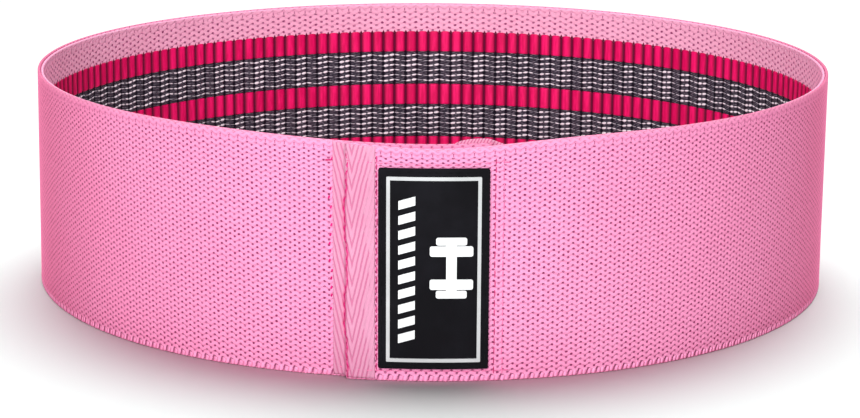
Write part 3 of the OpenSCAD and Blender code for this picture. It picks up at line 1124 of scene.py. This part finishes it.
# %% [markdown]
# ## Elastic cores
#
# Covered elastic yarns run the whole length between the outer and the inner layer. They
# are hidden, but they are what pulls the band together, so they are built too: eighteen
# plain round cords in one mesh.

# %% Cores
CORE_R = 0.34
CORE_PITCH = 4
core_arcs = even_arcs(4)
core_z = np.arange(CORE_PITCH, BAND_H - CORE_PITCH / 2, CORE_PITCH)[:, None, None]
core_sides = np.arange(6) * np.pi / 3
core_points = webbing(core_arcs[None, :, None], FACE_T + CORE_R * np.sin(core_sides),
                      core_z + CORE_R * np.cos(core_sides))
dress(tubes("elastic_cores", core_points), core_latex, "core_rubber", both("elastic_cores"))

# %% [markdown]
# ## The seam tapes
#
# The outer tape covers the cut outer end. It starts on the layer below, climbs the step of
# the webbing's thickness and ends beside the label. Its ribs are real relief here, because
# they are as coarse as the loops of the knit: they lean away from a centre line, which
# makes the herringbone. A line of stitches presses a wavy groove along the step.
# The inner tape covers the cut inner end inside the band. Its top stands a little higher
# than the sagging rim and is domed.


# %% Surfaces that cross the step of the lap
TAPE_GAP = 0.32


def lap(arc, lift, z):
    """Point above the outer face at the lap: the layer below, left of the outer end."""
    arc, lift, z = np.broadcast_arrays(arc, lift, z)
    w = smooth((arc - OUTER_END + 0.7) / 1.1)[..., None]
    return webbing(S_FRONT_INNER + arc, -lift, z) * (1 - w) + webbing(arc, -lift, z) * w


def inner_lap(arc, lift, z):
    """Point inside the band at the lap: lift is measured towards the loop's middle."""
    arc, lift, z = np.broadcast_arrays(arc, lift, z)
    w = smooth((arc - INNER_END + 1.5) / 4)[..., None]
    depth = WEB_T + TAPE_GAP + lift
    point = webbing(S_FRONT_INNER + arc, depth, z) * (1 - w) + webbing(arc, depth, z) * w
    point[..., 2] = z
    return point


def sheet_piece(name, face, back, place, marks, *finish):
    """Closed piece between two grids of points; place is the arc and height of the face's.

    marks gives named values on the face's grid, which the material reads as attributes.
    """
    face_map = np.stack(np.broadcast_arrays(*place), -1)
    uv = np.concatenate([face_map, face_map[:, ::-1], face_map[:, :1]], 1)
    piece = grid_piece(name, np.concatenate([face, back[:, ::-1]], 1), uv)
    for label, value in marks.items():
        value = np.broadcast_to(value, face.shape[:2])
        set_values(piece, label, np.concatenate([value, value[:, ::-1]], 1))
    dress(piece, *finish, rides_front=True)


def twill_relief(arc, z, centre, lean, spacing):
    """0 in the grooves and 1 on the ribs, with the same count as the twill group's."""
    count = (np.abs(arc - centre) - z * lean) / spacing
    return smooth(np.abs(count - np.round(count)) / 0.28)


def quarter_round(x):
    """0 at 0 and 1 from 1 on, along a quarter circle: the soft edge of a sheet."""
    return np.sqrt(1 - (1 - np.clip(x, 0, 1)) ** 2)


def crease(z):
    """How far the pressed line wanders sideways at height z: three sines."""
    wave = 0.42 * np.sin(2 * np.pi * z / 31 + 0.5) + 0.18 * np.sin(2 * np.pi * z / 9.5)
    return wave + 0.12 * np.sin(2 * np.pi * z / 3)


# %% Outer tape
TAPE_LEFT = OUTER_END - 4.1
TAPE_RIGHT = -17.3
RIBS_END = -19.6
TAPE_FACE = TAPE_T - 0.2
TAPE_END = 0.5
PRESSED_UP_TO = 62
arc = np.linspace(TAPE_LEFT, TAPE_RIGHT, 112)[:, None]
z = np.linspace(TAPE_END, BAND_H - TAPE_END, 150)[None, :]
wave = crease(z)
groove = np.exp(-((arc - OUTER_END - wave) / 0.42) ** 2)
ribbed = smooth((RIBS_END + 2 * wave - arc) / 0.5)
bead = quarter_round(np.minimum(arc - TAPE_LEFT, TAPE_RIGHT - arc) / 0.5)
bead = bead * quarter_round(np.minimum(z - TAPE_END, BAND_H - TAPE_END - z) / 0.6)
lift = TAPE_FACE + 0.16 * twill_relief(arc, z, *OUTER_TWILL) * ribbed - 0.4 * groove
lift = 0.05 + (lift - 0.05) * bead
marks = {"ribbed": ribbed, "pressed": groove * smooth((PRESSED_UP_TO - z) / 6 + 1) * 0.9}
sheet_piece("outer_tape", lap(arc, lift, z), lap(arc, 0.02 + 0 * lift, z), (arc, z), marks,
            outer_twill, "pink_tape", ["outer_seam_tape"])

# %% Inner tape
INNER_TAPE_LEFT = 6.7
INNER_TAPE_RIGHT = 22.8
INNER_TAPE_TOP = BAND_H - 3.5
INNER_TAPE_DOME = 2
arc = np.linspace(INNER_TAPE_LEFT, INNER_TAPE_RIGHT, 90)[:, None]
middle = (INNER_TAPE_LEFT + INNER_TAPE_RIGHT) / 2
across = (arc - middle) / (INNER_TAPE_RIGHT - middle)
share = np.linspace(0, 1, 140)[None, :]
domed = INNER_TAPE_DOME * np.sqrt(np.clip(1 - across ** 2, 0, 1))
z = TAPE_END + (INNER_TAPE_TOP + domed) * share
bead = quarter_round(np.minimum(1 - np.abs(across), 1 - share + 0 * across) * 12)
lift = 0.1 + (TAPE_T - 0.3 + 0.2 * twill_relief(arc, z, *INNER_TWILL)) * bead
marks = {"ribbed": 1.0, "pressed": 0.0}
sheet_piece("inner_tape", inner_lap(arc, lift, z), inner_lap(arc, 0 * lift, z), (arc, z),
            marks, inner_twill, "pink_tape", ["inner_seam_tape"])

# %% [markdown]
# ## Stitching
#
# The tapes and the lap are held by rows of machine stitches. Each stitch is a thread about
# 2.3 mm long that arches out of one needle hole and dives into the next. One function lays
# such a row between any two points of a surface, and each row names the surface it lies on.
# Left of the tape a few crimson threads show through the needle holes, and at the top a
# tack stitch holds the end of the tape.


# %% A row of stitches
STITCH = 2.3
STITCH_PITCH = 3.0


def stitch_row(name, start, end, place, size, seed, *finish):
    """Stitches in a line from start to end, both (arc, height), on the surface place."""
    (arc_0, z_0), (arc_1, z_1) = start, end
    length = math.hypot(arc_1 - arc_0, z_1 - z_0)
    count = round(length / STITCH_PITCH)
    t = (np.arange(count) + 0.5) / count
    dice = np.random.default_rng(seed)
    wobble = dice.normal(0, 0.06, (2, count))
    piece = threads(name, arc_0 + (arc_1 - arc_0) * t + wobble[0],
                    z_0 + (z_1 - z_0) * t + wobble[1],
                    STITCH * (arc_1 - arc_0) / length + dice.normal(0, 0.05, count),
                    STITCH * (z_1 - z_0) / length + dice.normal(0, 0.05, count),
                    size, place, hump=0.12)
    dress(piece, *finish, rides_front=True)


# %% The surfaces that rows lie on
def raised(surface_point, by):
    """The same surface, but higher by that many mm."""
    return lambda arc, lift, z: surface_point(arc, lift + by, z)


def on_crease(arc, lift, z):
    """Point just above the pressed line of the outer tape."""
    return lap(arc + crease(z), lift + 0.1, z)


def over_tape(arc, lift, z):
    """Point on the outer tape or, to its right, in the cloth."""
    return lap(arc, lift + np.where(arc < TAPE_RIGHT, TAPE_T - 0.3, -0.04), z)


# %% Rows of the seam
TAPE_ROW = (3, BAND_H - 3)
SEAM_ROW = (2, BAND_H - 4)
LAP_ROW = (-29.5, 24)
on_inner_tape = raised(inner_lap, TAPE_T - 0.1)


def upright(arc, heights):
    """Start and end of a row that stands at an arc."""
    return [(arc, z) for z in heights]


def across_lap(z):
    """Start and end of a row that crosses the whole lap at a height."""
    return [(arc, z) for arc in LAP_ROW]


rows = {
    "tape_stitching_left": [
        ("tape_stitches_left", upright(OUTER_END, TAPE_ROW), on_crease, 0.26, crimson_thread)],
    "tape_stitching_right": [
        ("tape_stitches_right", upright(-16.9, TAPE_ROW), raised(lap, -0.03), 0.2, deep_thread)],
    "seam_stitching_right": [
        ("seam_stitches_right", upright(19.2, SEAM_ROW), outer_face, 0.16, deep_thread),
        ("seam_stitches_right_2", upright(21.7, SEAM_ROW), outer_face, 0.16, pink_thread)],
    "seam_stitching_top": [
        ("seam_stitches_top", across_lap(70.0), over_tape, 0.16, pink_thread)],
    "seam_stitching_bottom": [
        ("seam_stitches_bottom", across_lap(3.3), over_tape, 0.16, pink_thread)],
    "inner_tape_stitching": [
        ("inner_tape_stitches_left", upright(8.2, TAPE_ROW), on_inner_tape, 0.17, pink_thread),
        ("inner_tape_stitches_right", upright(21.6, TAPE_ROW), on_inner_tape, 0.17, pink_thread)],
}
seed = 3
for node, its_rows in rows.items():
    for name, line, place, size, yarn in its_rows:
        stitch_row(name, *line, place, size, seed, yarn, "pink_thread", [node])
        seed += 1

# %% Threads in the needle holes left of the tape, and the tack stitch
HOLES_AT = -31.2
TACK = ((-31.7, -30.6), (69.2, 70.0), (2.4, 0.6), (0.3, 0.9))
hole_z = np.arange(22, 60, 2.9)
dice = np.random.default_rng(12)
hole_arcs = HOLES_AT + dice.normal(0, 0.25, len(hole_z))
hole_z = hole_z + dice.normal(0, 0.5, len(hole_z))
show = threads("crimson_show_through", hole_arcs, hole_z, 0.35, 1.0, 0.3, lap, hump=0.06)
tack = threads("tack_stitch", *np.array(TACK), 0.25, raised(lap, 0.1))
for piece in (show, tack):
    dress(piece, crimson_thread, "pink_thread", ["tape_stitching_left"], rides_front=True)

# %% [markdown]
# ## The label
#
# The label is a thick, soft, matt rubber patch with rounded corners and a soft edge. Its
# raised border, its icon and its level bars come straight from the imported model: they are
# crisp moulded shapes, and only need their finish. The patch itself is rebuilt as a grid
# wrapped on the loop: its rows get shorter where the corners are round, and its surface
# drops off along a quarter circle close to the edge.

# %% Label base
label_low, label_high = node_box("label_base")
LABEL_Z0, LABEL_Z1 = label_low[2], label_high[2]
LABEL_MID = 0.5
LABEL_W = 33.6
LABEL_H = LABEL_Z1 - LABEL_Z0
LABEL_T = 1.4
LABEL_GAP = 0.02
LABEL_CORNER = 0.6
EDGE_SOFT = 0.35
LABEL_MID_Z = (LABEL_Z0 + LABEL_Z1) / 2


def label_point(x, lift, z):
    """Point at x, z on the label, which is wrapped on a cylinder, and lift above the loop."""
    angle = 1.5 * np.pi + (LABEL_MID + x) / LOOP_R
    radius = LOOP_R + LABEL_GAP + lift
    return np.stack(np.broadcast_arrays(radius * np.cos(angle), MID_Y + radius * np.sin(angle),
                                        LABEL_MID_Z + z), -1)


def edge_spaced(half, soft, steps):
    """Values from -half to half, close together within soft of both ends."""
    near = np.sort(half - soft * (1 - np.cos(np.linspace(0, np.pi / 2, 6))))
    middle = np.linspace(-near[0], near[0], steps + 2)[1:-1]
    return np.concatenate([-near[::-1], middle, near])


z = edge_spaced(LABEL_H / 2, LABEL_CORNER, 30)[:, None]
over = np.clip(np.abs(z) - (LABEL_H / 2 - LABEL_CORNER), 0, LABEL_CORNER)
half_w = LABEL_W / 2 - LABEL_CORNER + np.sqrt(LABEL_CORNER ** 2 - over ** 2)
x = edge_spaced(LABEL_W / 2, EDGE_SOFT, 24)[None, :] * half_w / (LABEL_W / 2)
off_edge = np.minimum(half_w - np.abs(x), LABEL_H / 2 - np.abs(z))
lift = LABEL_T - EDGE_SOFT * (1 - quarter_round(off_edge / EDGE_SOFT))
sheet_piece("label_patch", label_point(x, lift, z), label_point(x, 0, z + 0 * x), (x, z), {},
            label_black, "label_rubber", ["label_base"])


# %% Label stitching
def on_label(arc, lift, z):
    """Point above the label's face."""
    return label_point(arc - LABEL_MID, LABEL_T + lift, z - LABEL_MID_Z)


INSET = 1.15
x_0, x_1 = LABEL_MID - LABEL_W / 2 + INSET, LABEL_MID + LABEL_W / 2 - INSET
z_0, z_1 = LABEL_Z0 + INSET, LABEL_Z1 - INSET
lines = {"left": ((x_0, z_0 + 1), (x_0, z_1 - 1)), "right": ((x_1, z_0 + 1), (x_1, z_1 - 1)),
         "top": ((x_0 + 1, z_1), (x_1 - 1, z_1)), "bottom": ((x_0 + 1, z_0), (x_1 - 1, z_0))}
for seed, (side, line) in enumerate(lines.items(), 30):
    stitch_row(f"label_stitches_{side}", *line, on_label, 0.13, seed, black_thread,
               "label_thread", ["label_stitching"])

# %% Finish of the label's moulded marks
for node, finish in (("label_border", label_grey), ("label_icon", label_white),
                     ("label_level_bars", label_white)):
    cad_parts[node].data.materials.clear()
    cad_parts[node].data.materials.append(finish)
    print(node, "is", finish.name)
